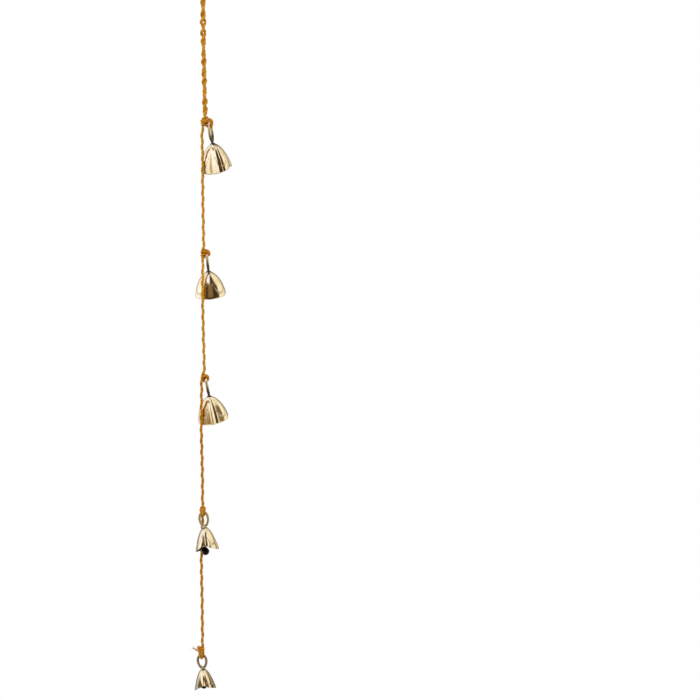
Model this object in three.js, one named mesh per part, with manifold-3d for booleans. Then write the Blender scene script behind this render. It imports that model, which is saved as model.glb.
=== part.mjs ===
// A hanging string of five brass clapper bells, each tied by its ring into one orange cord.
// Millimetres, +Z up, +X to the viewer's right, +Y away from the viewer.
// The origin is the inside top of the hanging loop, where a hook or nail carries the string.

import * as THREE from 'three';
import { mergeVertices } from 'three/addons/utils/BufferGeometryUtils.js';
import Module from 'manifold-3d';

const wasm = await Module();
wasm.setup();

// Clearance between pieces that touch on the real string
const seatGap = 0.3;
const cordEndGap = 0.45; // a free stretch to the cord inside its knot
const collarGap = 0.42; // straight up from the crown's slope to a ring's collar

// Lengths along the string, from the hook to the first bell and then from bell to bell
const firstDrop = 176.8;
const secondPitch = 121.5;
const thirdPitch = 119.3;
const fourthPitch = 127.8;
const lastPitch = 136;
const firstHeight = -firstDrop;
const secondHeight = firstHeight - secondPitch;
const thirdHeight = secondHeight - thirdPitch;
const fourthHeight = thirdHeight - fourthPitch;
const lastHeight = fourthHeight - lastPitch;

// Cord
const cordDiameter = 2.5;
const doubledWidth = 4.6; // two strands laid together above the first bell
const tailDiameter = 3.2; // the frayed cut end below the last knot
const tieDiameter = 2.2; // drawn tight in a knot
const wrapRadius = 1.9; // middle of a knot's turns around the standing cord
const wrapSquash = 0.75; // a knot's turns are narrower across the string
const wrapSpacing = 1.35; // half the distance between a knot's two turns
const wrapLean = 0.22; // radians that the turns slope
const loopSlack = 0.9; // room between the tie and the top of a bell's ring
const tieSquareness = 0.62; // 1 is an ellipse, less is boxy
const loopKnotMiddle = -46.6;
const loopKnotWidening = 1.7; // its turns go round two strands

// Second and third bells
const largeBell = {
  height: 25.3,
  lobeRadius: 16.2, // at the lowest point of a lobe
  wall: 0.9,
  crownRound: 0.57, // lower is rounder at the crown
  wallUpright: 1.5, // higher stands the wall upright at the rim
  lobeDrop: 2.3, // how far the rim rises from lobe to side
  notchRise: 1.2, // further rise of the rim in the side pinch
  pinch: 0.09, // share of the radius lost in the side pinch
  pinchHalfAngle: 0.6,
  ringHeight: 18.6, // crown to the top of the hanging ring
  ringWidth: 11.6,
  ringBar: 2.2,
  ringThickness: 2.6,
  clapperDrop: 19, // crown to the middle of the ball
  ballDiameter: 8,
};

// The first bell is taller and a little slimmer
const firstBell = {
  ...largeBell,
  height: 27.4,
  lobeRadius: 15.4,
};

// Fourth bell
const smallBell = {
  height: 20.8,
  lobeRadius: 11.4,
  wall: 0.8,
  crownRound: 0.5,
  wallUpright: 1,
  lobeDrop: 2.3,
  notchRise: 1.7,
  pinch: 0.24,
  pinchHalfAngle: 0.75,
  ringHeight: 16.6,
  ringWidth: 10.6,
  ringBar: 2.0,
  ringThickness: 2.6,
  clapperDrop: 21.6,
  ballDiameter: 7.2,
};

// The last bell is shorter, with its clapper drawn up inside the rim
const lastBell = {
  ...smallBell,
  height: 17.6,
  lobeRadius: 10.5,
  crownRound: 0.58,
  lobeDrop: 1.9,
  notchRise: 1.4,
  ringHeight: 15.6,
  clapperDrop: 13.4,
  ballDiameter: 6,
};

// Hanging ring, its stem through the crown and the clapper's eye below it
const ringTaper = 0.13; // the ring narrows towards the crown
const ringEdge = 0.45; // rounding of the ring's flat bar
const ringFoot = 1.0; // bottom of the ring above the crown
const stemRadius = 1.5;
const crownClearance = 0.45; // stem to the edge of the crown hole
const brazeRadius = 2.7;
const brazeHeight = 1.9;
const eyeRadius = 2.0;
const eyeBar = 0.7;
const eyeDepth = 4.4; // crown to the middle of the clapper's eye

// Clapper
const wireRadius = 0.65;
const wireLoopRadius = 2.0;
const wireLoopStart = -0.96; // where the bent end of the wire meets its shank, radians
const wireLoopTurn = 5.03; // how far the wire bends round, radians
const wireShankTop = 4.7; // from the eye down to where the wire runs straight
const socketDepth = 2.6; // wire sunk in the ball

// Fineness of the rounded forms
const shellColumns = 32;
const shellRowsOut = 7;
const shellRowsIn = 4;
const slopeStep = 0.01; // share of the wall over which its slope is taken
const ringPoints = 16;
const stemSides = 10;
const eyeSteps = 12;
const eyeSides = 6;
const wireSides = 6;
const wireSteps = 18;
const wireBends = 11;
const cordSides = 8;
const knotSides = 6;
const tieSteps = 12;
const wrapSteps = 9;
const knotSteps = 7;
const loopKnotSteps = 6;
const ballRows = 6;
const ballColumns = 10;

// Each bell hangs from the strand that passes through its ring, at x, y and the height named above.
// tilt swings the mouth to the right, lean away from the viewer, and turn spins it on its own axis.
const degree = Math.PI / 180;
const bells = [
  { size: firstBell, x: 6.8, y: -1.6, height: firstHeight, tilt: 9, lean: 14, turn: -16 },
  { size: largeBell, x: 3.7, y: 2, height: secondHeight, tilt: 5, lean: 9, turn: 0 },
  { size: largeBell, x: 2.9, y: 2, height: thirdHeight, tilt: 10.5, lean: 9, turn: 0 },
  { size: smallBell, x: 0.3, y: 0, height: fourthHeight, tilt: 7, lean: -5, turn: 78 },
  { size: lastBell, x: -1.2, y: 0, height: lastHeight, tilt: 7, lean: -2, turn: 78 },
];

// The cord as it runs down through each knot, in heights from its bell's strand
const knotRuns = [
  [[2.0, 0, 12], [2.2, 0, 8.8], [2.6, 0, 5.8], [0.2, -0.9, 1.4], [-0.5, -2, -2.6]],
  [[0.6, 0, 9.7], [0.3, 0, 6.3], [-0.5, 0, 3.1], [-0.2, -0.8, -1.2], [0, -2.2, -5.5]],
  [
    [1.2, 0, 12], [1.0, 0.2, 9.1], [0.4, 0.3, 6.4], [-1.1, -0.4, 2.1], [-1.3, -1.4, -1.4],
    [-1.2, -2.5, -5.4],
  ],
  [[-0.4, 0, 12.8], [-0.4, 0.2, 10], [-0.4, 1.2, 7.2], [-0.5, 4.3, 2.8], [-0.6, 4.7, -3.6]],
  [[-0.5, 0, 13.4], [-0.8, 0, 10.4], [-2.0, 0, 6.4], [-2.6, 0, 4.8]],
];

// The free stretches: points below the upper holding place, then points above the lower one
const cordRuns = {
  cord_top: {
    upper: 0,
    leaving: [[0, 0, -52], [0.1, 0, -62], [0.3, 0, -80], [0.5, 0, -98]],
    lower: firstHeight,
    arriving: [[0.9, 0, 60.8], [1.3, 0, 42.8], [1.7, 0, 26.8], [1.95, 0, 17.8], [2.0, 0, 12]],
  },
  cord_1_to_2: {
    upper: firstHeight,
    leaving: [
      [-0.5, -2, -2.6], [-0.8, -2.1, -6.6], [-0.7, -2, -14.2], [-0.4, -1.9, -24.2], [-0.3, -1.8, -35.2],
      [-0.3, -1.7, -47.2],
    ],
    lower: secondHeight,
    arriving: [[-0.1, -1.2, 56.3], [0.2, -0.6, 36.3], [0.5, -0.2, 17.3], [0.6, 0, 9.7]],
  },
  cord_2_to_3: {
    upper: secondHeight,
    leaving: [
      [0, -2.2, -5.5], [0, -3.6, -9.7], [0, -6, -18.7], [0, -7.6, -28.7], [0, -8.2, -39.7],
      [0.1, -7, -51.7],
    ],
    lower: thirdHeight,
    arriving: [[0.4, -3.6, 49.6], [0.8, -1.2, 30.6], [1.1, -0.2, 18.6], [1.2, 0, 12]],
  },
  cord_3_to_4: {
    upper: thirdHeight,
    leaving: [
      [-1.2, -2.5, -5.4], [-1.2, -3, -9.4], [-1.2, -4, -18.4], [-1.3, -4.8, -28.4], [-1.4, -5.1, -39.4],
      [-1.3, -4.6, -52.4],
    ],
    lower: fourthHeight,
    arriving: [[-0.9, -2.4, 56.4], [-0.5, -0.8, 35.4], [-0.4, -0.1, 20.4], [-0.4, 0, 12.8]],
  },
  cord_4_to_5: {
    upper: fourthHeight,
    leaving: [
      [-0.6, 4.7, -3.6], [-0.7, 5.2, -7.6], [-1.1, 7.2, -17.6], [-1.7, 8.1, -28.6], [-1.9, 7.6, -40.6],
      [-1.6, 4.6, -56.6],
    ],
    lower: lastHeight,
    arriving: [[-1.0, 1.8, 59.4], [-0.7, 0.6, 38.4], [-0.5, 0.1, 21.4], [-0.5, 0, 13.4]],
  },
};
const hangingLoopRun = [
  [-1.5, 0, -41.4], [-3.2, 0, -35], [-6.3, 0, -20], [-6.2, 0, -6.2], [-4.3, 0, -1], [0, 0, 1.25],
  [4.3, 0, -1], [6.2, 0, -6.2], [6.3, 0, -20], [3.2, 0, -35], [1.5, 0, -41.4],
];
const loopKnotRun = [[0, 0, -42], [0.2, 0, -45], [-0.2, 0, -49], [0, 0, -52]];
const tailRun = [[-4.9, 0.1, 7], [-7.2, 0.4, 7.9], [-9.2, 0.3, 9.1], [-10.8, 0, 9.7]];

// Finishes
const polishedBrass = { color: 0xd9c79a, roughness: 0.22, metalness: 1 };
const dullBrass = { color: 0x8f7b4a, roughness: 0.4, metalness: 1 };
const blackIron = { color: 0x1c1a18, roughness: 0.55, metalness: 0.6 };
const wireSteel = { color: 0x5b5852, roughness: 0.45, metalness: 1 };
const orangeCord = { color: 0xc77a16, roughness: 0.95, metalness: 0 };

const cordRadius = cordDiameter / 2;
const tieRadius = tieDiameter / 2;
const string = new THREE.Group();

function addPiece(name, geometry, finish, parent = string) {
  const mesh = new THREE.Mesh(geometry, new THREE.MeshStandardMaterial(finish));
  mesh.name = name;
  parent.add(mesh);
}

function points(list, height = 0) {
  return list.map(([x, y, z]) => new THREE.Vector3(x, y, height + z));
}

// Joining separate solids into one piece
function toSolid(geometry) {
  const bare = geometry.clone();
  bare.deleteAttribute('normal');
  bare.deleteAttribute('uv');
  const merged = mergeVertices(bare, 1e-4);
  return new wasm.Manifold(new wasm.Mesh({
    numProp: 3,
    vertProperties: new Float32Array(merged.attributes.position.array),
    triVerts: new Uint32Array(merged.index.array),
  }));
}

function joined(geometries) {
  const whole = geometries.map(toSolid).reduce((sum, next) => sum.add(next)).getMesh();
  const geometry = new THREE.BufferGeometry();
  geometry.setAttribute('position', new THREE.BufferAttribute(new Float32Array(whole.vertProperties), 3));
  geometry.setIndex(new THREE.BufferAttribute(new Uint32Array(whole.triVerts), 1));
  return geometry;
}

// A closed skin over rings of points; the last ring joins the first
function skin(rings) {
  const columns = rings[0].length;
  const positions = rings.flat().flatMap((point) => point.toArray());
  const faces = [];
  rings.forEach((ring, row) => {
    const next = (row + 1) % rings.length;
    for (let column = 0; column < columns; column += 1) {
      const beside = (column + 1) % columns;
      const [a, b] = [row * columns + column, row * columns + beside];
      const [c, d] = [next * columns + column, next * columns + beside];
      faces.push(a, c, b, b, c, d);
    }
  });
  const geometry = new THREE.BufferGeometry();
  geometry.setAttribute('position', new THREE.Float32BufferAttribute(positions, 3));
  geometry.setIndex(faces);
  return geometry;
}

// Cord and wire
function roundSection(radius, sides) {
  const corners = [];
  for (let side = 0; side < sides; side += 1) {
    const angle = (2 * Math.PI * side) / sides;
    corners.push(new THREE.Vector2(radius * Math.cos(angle), radius * Math.sin(angle)));
  }
  return new THREE.Shape(corners);
}

function tube(run, radius, sides, steps) {
  const path = new THREE.CatmullRomCurve3(run);
  return new THREE.ExtrudeGeometry(roundSection(radius, sides), { extrudePath: path, steps });
}

// A free stretch stops short of the knots at both its ends
function stretch(run, diameter) {
  const last = run.length - 1;
  run[0].lerp(run[1], cordEndGap / run[0].distanceTo(run[1]));
  run[last].lerp(run[last - 1], cordEndGap / run[last].distanceTo(run[last - 1]));
  return tube(run, diameter / 2, cordSides, 2 * last);
}

// A closed turn of cord standing in the XZ plane
function turnOfCord(halfWidth, halfHeight, squareness, steps) {
  const shaped = (value) => Math.sign(value) * Math.abs(value) ** squareness;
  const middle = [];
  for (let step = 0; step < steps; step += 1) {
    const angle = (2 * Math.PI * (step + 0.5)) / steps;
    const x = halfWidth * shaped(Math.cos(angle));
    const z = halfHeight * shaped(Math.sin(angle));
    middle.push(new THREE.Vector3(x, 0, z));
  }
  const rings = middle.map((point, step) => {
    const along = middle[(step + 1) % steps].clone().sub(middle[(step + steps - 1) % steps]).normalize();
    const outward = new THREE.Vector3(along.z, 0, -along.x);
    const ring = [];
    for (let side = 0; side < knotSides; side += 1) {
      const angle = (2 * Math.PI * side) / knotSides;
      const place = point.clone().addScaledVector(outward, tieRadius * Math.cos(angle));
      place.y -= tieRadius * Math.sin(angle);
      ring.push(place);
    }
    return ring;
  });
  return skin(rings);
}

// Two sloping turns around the standing cord
function knotTurns(middle, wide = 1) {
  return [-1, 1].map((way) => {
    const turn = turnOfCord(wide * wrapRadius * wrapSquash, wrapRadius, 1, wrapSteps);
    turn.rotateX(Math.PI / 2);
    turn.rotateY(way * wrapLean);
    turn.translate(middle.x, middle.y, middle.z + way * wrapSpacing);
    return turn;
  });
}

// Bell shell: two broad lobes, drawn in at the sides where the rim rises to a notch.
// Angles start at the lobe that faces +Y in the bell's own frame; depth runs down from the crown.
function sidePinch(size, angle) {
  const fromSide = Math.abs(Math.abs(Math.atan2(Math.sin(angle), Math.cos(angle))) - Math.PI / 2);
  const share = Math.min(fromSide / size.pinchHalfAngle, 1);
  return 0.5 + 0.5 * Math.cos(Math.PI * share);
}

function rimDepth(size, angle) {
  return size.height - size.lobeDrop * Math.sin(angle) ** 2 - size.notchRise * sidePinch(size, angle);
}

function domeRadius(size, depth) {
  const upright = 1 - (1 - depth / size.height) ** size.wallUpright;
  return size.lobeRadius * upright ** size.crownRound;
}

function domeDepth(size, radius) {
  const upright = (radius / size.lobeRadius) ** (1 / size.crownRound);
  return size.height * (1 - (1 - upright) ** (1 / size.wallUpright));
}

function outerPlace(size, angle, share) {
  const topDepth = domeDepth(size, stemRadius + crownClearance);
  const depth = topDepth + (rimDepth(size, angle) - topDepth) * share ** 2;
  const radius = domeRadius(size, depth) * (1 - size.pinch * sidePinch(size, angle) * share ** 3);
  return new THREE.Vector2(radius, -depth);
}

function innerPlace(size, angle, share) {
  const low = outerPlace(size, angle, Math.max(share - slopeStep, 0));
  const high = outerPlace(size, angle, Math.min(share + slopeStep, 1));
  const along = high.sub(low).normalize();
  const inward = new THREE.Vector2(along.y, -along.x);
  const place = outerPlace(size, angle, share).addScaledVector(inward, size.wall);
  place.x = Math.max(place.x, stemRadius + crownClearance);
  return place;
}

function shellGeometry(size) {
  const rows = [];
  for (let row = 0; row <= shellRowsOut; row += 1) {
    rows.push([outerPlace, row / shellRowsOut]);
  }
  for (let row = shellRowsIn; row >= 0; row -= 1) {
    rows.push([innerPlace, row / shellRowsIn]);
  }
  const rings = rows.map(([place, share]) => {
    const ring = [];
    for (let column = 0; column < shellColumns; column += 1) {
      const angle = (2 * Math.PI * column) / shellColumns;
      const { x: radius, y: height } = place(size, angle, share);
      ring.push(new THREE.Vector3(-radius * Math.sin(angle), radius * Math.cos(angle), height));
    }
    return ring;
  });
  return skin(rings);
}

// Hanging ring: a flat bar bent to an egg, standing in the YZ plane of the bell's own frame
function eggOutline(halfWidth, halfHeight, middle, make) {
  const outline = [];
  for (let step = 0; step < ringPoints; step += 1) {
    const angle = (2 * Math.PI * step) / ringPoints;
    const y = halfWidth * Math.cos(angle) * (1 + ringTaper * Math.sin(angle));
    outline.push(new THREE.Vector2(y, middle + halfHeight * Math.sin(angle)));
  }
  return new make(outline);
}

function ringGeometry(size) {
  const halfHeight = (size.ringHeight - ringFoot) / 2;
  const halfWidth = size.ringWidth / 2;
  const middle = ringFoot + halfHeight;
  const bar = eggOutline(halfWidth, halfHeight, middle, THREE.Shape);
  bar.holes.push(eggOutline(halfWidth - size.ringBar, halfHeight - size.ringBar, middle, THREE.Path));
  const ring = new THREE.ExtrudeGeometry(bar, {
    depth: size.ringThickness - 2 * ringEdge,
    bevelThickness: ringEdge,
    bevelSize: ringEdge,
    bevelOffset: -ringEdge,
    bevelSegments: 1,
  });
  ring.translate(0, 0, ringEdge - size.ringThickness / 2);
  ring.rotateX(Math.PI / 2);
  ring.rotateZ(Math.PI / 2);
  return ring;
}

function hangerGeometry(size) {
  const seat = (radius) => collarGap - domeDepth(size, radius);
  const brazeMiddle = (stemRadius + brazeRadius) / 2;
  const profile = [
    [0, eyeRadius - eyeDepth],
    [stemRadius, eyeRadius - eyeDepth],
    [stemRadius, seat(stemRadius)],
    [brazeMiddle, seat(brazeMiddle)],
    [brazeRadius, seat(brazeRadius)],
    [brazeRadius, seat(brazeRadius) + seatGap],
    [stemRadius, brazeHeight],
    [0, brazeHeight],
  ].map(([radius, height]) => new THREE.Vector2(radius, height));
  const stem = new THREE.LatheGeometry(profile, stemSides);
  stem.rotateX(Math.PI / 2);
  const eye = new THREE.TorusGeometry(eyeRadius, eyeBar, eyeSides, eyeSteps);
  eye.rotateY(Math.PI / 2);
  eye.translate(0, 0, -eyeDepth);
  return joined([ringGeometry(size), stem, eye]);
}

// Clapper, hanging from the middle of the wire that lies in the eye
const eyeToWire = eyeRadius - (eyeBar + wireRadius + seatGap);

function ballHeight(size) {
  return eyeDepth + eyeToWire - size.clapperDrop;
}

function clapperWire(size) {
  const ballTop = ballHeight(size) + size.ballDiameter / 2;
  const run = [];
  for (let step = 0; step <= wireBends; step += 1) {
    const angle = wireLoopStart + (step / wireBends) * wireLoopTurn;
    run.push([wireLoopRadius * Math.cos(angle), 0, wireLoopRadius * (Math.sin(angle) - 1)]);
  }
  run.push([0, 0, -wireShankTop], [0, 0, ballTop + wireRadius], [0, 0, ballTop - socketDepth + seatGap]);
  return tube(points(run), wireRadius, wireSides, wireSteps);
}

function clapperBall(size) {
  const radius = size.ballDiameter / 2;
  const bore = wireRadius + seatGap;
  const edge = Math.asin(bore / radius);
  const profile = [];
  for (let row = 0; row <= ballRows; row += 1) {
    const angle = Math.PI + (row / ballRows) * (edge - Math.PI);
    const across = row === 0 ? 0 : radius * Math.sin(angle);
    profile.push(new THREE.Vector2(across, radius * Math.cos(angle)));
  }
  profile.push(new THREE.Vector2(bore, radius - socketDepth), new THREE.Vector2(0, radius - socketDepth));
  const ball = new THREE.LatheGeometry(profile, ballColumns);
  ball.rotateX(Math.PI / 2);
  ball.translate(0, 0, ballHeight(size));
  return ball;
}

// The strand of the tie that carries a bell's ring is the origin of the bell's own frame
function crownHeight(size) {
  return tieRadius + seatGap + size.ringBar - size.ringHeight;
}

// Knot: the cord passes through it, turns about itself and ties round the top of the ring
function knotGeometry(bell, run, frame) {
  const { size } = bell;
  const halfWidth = size.ringThickness / 2 + seatGap + tieRadius;
  const halfHeight = tieRadius + (seatGap + size.ringBar + loopSlack) / 2;
  const tie = turnOfCord(halfWidth, halfHeight, tieSquareness, tieSteps);
  tie.translate(0, 0, halfHeight);
  tie.applyMatrix4(frame);
  const through = points(run, bell.height);
  return joined([tie, tube(through, cordRadius, knotSides, knotSteps), ...knotTurns(through[2])]);
}

bells.forEach((bell, index) => {
  const { size } = bell;
  const name = `bell_${index + 1}`;

  // The bell's own frame, with the ring's hole along X
  const hung = new THREE.Group();
  hung.position.set(bell.x, bell.y, bell.height);
  hung.rotation.set(bell.lean * degree, -bell.tilt * degree, bell.turn * degree, 'YXZ');
  hung.updateMatrix();
  string.add(hung);

  const body = new THREE.Group();
  body.position.z = crownHeight(size);
  hung.add(body);
  addPiece(`${name}_shell`, shellGeometry(size), polishedBrass, body);
  addPiece(`${name}_hanger`, hangerGeometry(size), dullBrass, body);

  // The clapper hangs plumb from the eye
  const clapper = new THREE.Group();
  clapper.position.set(0, 0, crownHeight(size) - eyeDepth - eyeToWire).applyMatrix4(hung.matrix);
  clapper.rotation.z = bell.turn * degree;
  string.add(clapper);
  addPiece(`${name}_clapper_wire`, clapperWire(size), wireSteel, clapper);
  addPiece(`${name}_clapper_ball`, clapperBall(size), blackIron, clapper);

  addPiece(`${name}_knot`, knotGeometry(bell, knotRuns[index], hung.matrix), orangeCord);
});

// Free cord, the loop that carries the string, and the cut end
Object.entries(cordRuns).forEach(([name, { upper, leaving, lower, arriving }]) => {
  const run = [...points(leaving, upper), ...points(arriving, lower)];
  addPiece(name, stretch(run, name === 'cord_top' ? doubledWidth : cordDiameter), orangeCord);
});
addPiece('hanging_loop', stretch(points(hangingLoopRun), cordDiameter), orangeCord);
addPiece('hanging_loop_knot', joined([
  tube(points(loopKnotRun), doubledWidth / 2, cordSides, loopKnotSteps),
  ...knotTurns(new THREE.Vector3(0, 0, loopKnotMiddle), loopKnotWidening),
]), orangeCord);
addPiece('cord_tail', stretch(points(tailRun, lastHeight), tailDiameter), orangeCord);

export default string;
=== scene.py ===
import math
import random

import bmesh
import bpy
from mathutils import Matrix, Vector, noise
from mathutils.geometry import interpolate_bezier


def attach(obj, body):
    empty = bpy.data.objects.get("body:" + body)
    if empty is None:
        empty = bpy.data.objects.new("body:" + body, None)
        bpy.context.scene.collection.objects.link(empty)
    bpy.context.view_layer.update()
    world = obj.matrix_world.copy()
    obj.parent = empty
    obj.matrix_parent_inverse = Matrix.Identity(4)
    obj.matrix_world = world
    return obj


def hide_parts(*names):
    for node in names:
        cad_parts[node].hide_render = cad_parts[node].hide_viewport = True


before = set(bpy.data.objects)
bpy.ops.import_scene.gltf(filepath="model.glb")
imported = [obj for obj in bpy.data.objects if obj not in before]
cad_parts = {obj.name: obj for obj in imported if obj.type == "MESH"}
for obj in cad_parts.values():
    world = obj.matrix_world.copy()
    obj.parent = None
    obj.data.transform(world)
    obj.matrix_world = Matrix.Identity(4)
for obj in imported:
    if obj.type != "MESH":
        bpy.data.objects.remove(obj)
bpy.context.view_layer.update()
scene = bpy.context.scene
scene.view_settings.view_transform = "Standard"
mm = 0.001
chance = random.Random(11)
noise.seed_set(6)  # the same unevenness each run

# heights of the strands that carry the five bells, in mm below the hook
bellHeights = [-176.8, -298.3, -417.6, -545.4, -681.4]

cameraSettings = {"place": (0.140, -3.0, -0.3883), "lens": 162.0, "sensor": 36.0}

camera = bpy.data.cameras.new("camera")
camera.lens = cameraSettings["lens"]
camera.sensor_width = cameraSettings["sensor"]
cameraObject = bpy.data.objects.new("camera", camera)
cameraObject.location = cameraSettings["place"]
cameraObject.rotation_euler = (math.radians(90), 0, 0)
scene.collection.objects.link(cameraObject)
scene.camera = cameraObject
print("camera set")


# materials

# a group with a vector and numbers in, numbers out
def newGroup(name, inputs, outputs):
    group = bpy.data.node_groups.new(name, "ShaderNodeTree")
    group.interface.new_socket("Vector", in_out="INPUT", socket_type="NodeSocketVector")
    for label, value in inputs.items():
        socket = group.interface.new_socket(label, in_out="INPUT", socket_type="NodeSocketFloat")
        socket.default_value = value
    for label in outputs:
        group.interface.new_socket(label, in_out="OUTPUT", socket_type="NodeSocketFloat")
    return group, group.nodes.new("NodeGroupInput"), group.nodes.new("NodeGroupOutput")


def addNode(tree, kind, settings=None, values=None):
    node = tree.nodes.new(kind)
    for key, value in (settings or {}).items():
        setattr(node, key, value)
    for key, value in (values or {}).items():
        node.inputs[key].default_value = value
    return node


def addRamp(tree, stops):
    node = tree.nodes.new("ShaderNodeValToRGB")
    ramp = node.color_ramp
    while len(ramp.elements) < len(stops):
        ramp.elements.new(0.5)
    for element, (place, colour) in zip(ramp.elements, stops):
        element.position = place
        element.color = (*colour, 1)
    return node


def addMix(tree, first=(0, 0, 0), second=(0, 0, 0), blend="MIX"):
    return addNode(tree, "ShaderNodeMix", {"data_type": "RGBA", "blend_type": blend},
                   {"A": (*first, 1), "B": (*second, 1)})


# links, each from a node's output to another's input
def join(tree, *links):
    for start, output, end, entry in links:
        tree.links.new(start.outputs[output], end.inputs[entry])


# cloudy tarnish with fine specks, from 0 bright to 1 dull
def makeTarnishGroup():
    group, start, end = newGroup("tarnish", {"Scale": 300.0, "Amount": 0.4}, ["Mask"])
    cloud = addNode(group, "ShaderNodeTexNoise", values={"Detail": 6.0, "Roughness": 0.62})
    speck = addNode(group, "ShaderNodeTexNoise", values={"Scale": 2600.0, "Detail": 2.0})
    spread = addNode(group, "ShaderNodeMapRange", {"clamp": True}, {"From Min": 0.42, "From Max": 0.7})
    specks = addNode(group, "ShaderNodeMapRange", {"clamp": True}, {"From Min": 0.6, "From Max": 0.72, "To Max": 0.5})
    both = addNode(group, "ShaderNodeMath", {"operation": "ADD", "use_clamp": True})
    scaled = addNode(group, "ShaderNodeMath", {"operation": "MULTIPLY", "use_clamp": True})
    join(group, (start, "Vector", cloud, "Vector"), (start, "Scale", cloud, "Scale"),
         (start, "Vector", speck, "Vector"), (cloud, "Fac", spread, "Value"), (speck, "Fac", specks, "Value"),
         (spread, "Result", both, 0), (specks, "Result", both, 1), (both, 0, scaled, 0),
         (start, "Amount", scaled, 1), (scaled, 0, end, "Mask"))
    return group


# upright polishing marks with the odd deeper scratch
def makePolishGroup():
    group, start, end = newGroup("polishingMarks", {}, ["Height"])
    fineWay = addNode(group, "ShaderNodeMapping", values={"Scale": (5200.0, 5200.0, 260.0)})
    fine = addNode(group, "ShaderNodeTexNoise", values={"Scale": 1.0, "Detail": 3.0})
    broadWay = addNode(group, "ShaderNodeMapping", values={"Scale": (420.0, 420.0, 60.0)})
    broad = addNode(group, "ShaderNodeTexNoise", values={"Scale": 1.0, "Detail": 3.0})
    weigh = addNode(group, "ShaderNodeMath", {"operation": "MULTIPLY_ADD"}, {1: 0.25})  # the fine marks' share
    join(group, (start, "Vector", fineWay, "Vector"), (start, "Vector", broadWay, "Vector"),
         (fineWay, "Vector", fine, "Vector"), (broadWay, "Vector", broad, "Vector"), (fine, "Fac", weigh, 0),
         (broad, "Fac", weigh, 2), (weigh, 0, end, "Height"))
    return group


# fibres that slope round a strand, on its own UV in mm
def makeFibreGroup():
    group, start, end = newGroup("twistedFibres", {"Slope": 0.6, "Fineness": 7.0}, ["Fibre", "Patch"])
    parts = addNode(group, "ShaderNodeSeparateXYZ")
    slant = addNode(group, "ShaderNodeMath", {"operation": "MULTIPLY_ADD"})
    across = addNode(group, "ShaderNodeMath", {"operation": "MULTIPLY"})
    along = addNode(group, "ShaderNodeMath", {"operation": "MULTIPLY"}, {1: 0.7})  # fibres are longer than wide
    place = addNode(group, "ShaderNodeCombineXYZ")
    fibre = addNode(group, "ShaderNodeTexNoise", values={"Scale": 1.0, "Detail": 3.0, "Roughness": 0.6})
    patch = addNode(group, "ShaderNodeTexNoise", values={"Scale": 0.35, "Detail": 3.0})
    join(group, (start, "Vector", parts, "Vector"), (parts, "Y", slant, 0), (start, "Slope", slant, 1),
         (parts, "X", slant, 2), (slant, 0, across, 0), (start, "Fineness", across, 1), (parts, "Y", along, 0),
         (across, 0, place, "X"), (along, 0, place, "Y"), (place, "Vector", fibre, "Vector"),
         (start, "Vector", patch, "Vector"), (fibre, "Fac", end, "Fibre"), (patch, "Fac", end, "Patch"))
    return group


tarnishGroup = makeTarnishGroup()
polishGroup = makePolishGroup()
fibreGroup = makeFibreGroup()


def newMaterial(name):
    material = bpy.data.materials.new(name)
    material.use_nodes = True
    return material, material.node_tree, material.node_tree.nodes["Principled BSDF"]


def dressMetal(tree, shader, finish, tint, gloss, bump):
    join(tree, (tint, "Result", shader, "Base Color"), (gloss, "Result", shader, "Roughness"),
         (bump, "Normal", shader, "Normal"))
    shader.inputs["Metallic"].default_value = finish["metal"]


brassFinishes = {
    "polishedBrass": {"bright": (0.86, 0.76, 0.53), "dull": (0.50, 0.36, 0.15), "amount": 0.35, "scale": 170.0,
                      "smooth": 0.13, "rough": 0.34, "bump": 0.09, "metal": 1.0},
    "engravedBrass": {"bright": (0.42, 0.31, 0.16), "dull": (0.16, 0.10, 0.05), "amount": 0.8, "scale": 500.0,
                      "smooth": 0.32, "rough": 0.5, "bump": 0.12, "metal": 1.0},
    # the bells' insides: brass painted near black as painted shade
    "shadedInnerBrass": {"bright": (0.07, 0.045, 0.02), "dull": (0.012, 0.009, 0.006), "amount": 0.85, "scale": 240.0,
                   "smooth": 0.5, "rough": 0.7, "bump": 0.2, "metal": 0.4},
    # its dull colour is also the painted shade towards the ring's foot
    "ringBrass": {"bright": (0.98, 0.84, 0.50), "dull": (0.09, 0.06, 0.03), "amount": 0.35, "scale": 230.0,
                  "smooth": 0.22, "rough": 0.5, "bump": 0.16, "metal": 0.7},
    # dark brass as painted shade, for the clapper eye inside the shell
    "shadedBrass": {"bright": (0.42, 0.31, 0.15), "dull": (0.10, 0.07, 0.035), "amount": 0.85, "scale": 380.0,
                    "smooth": 0.35, "rough": 0.6, "bump": 0.2, "metal": 1.0},
}


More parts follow.
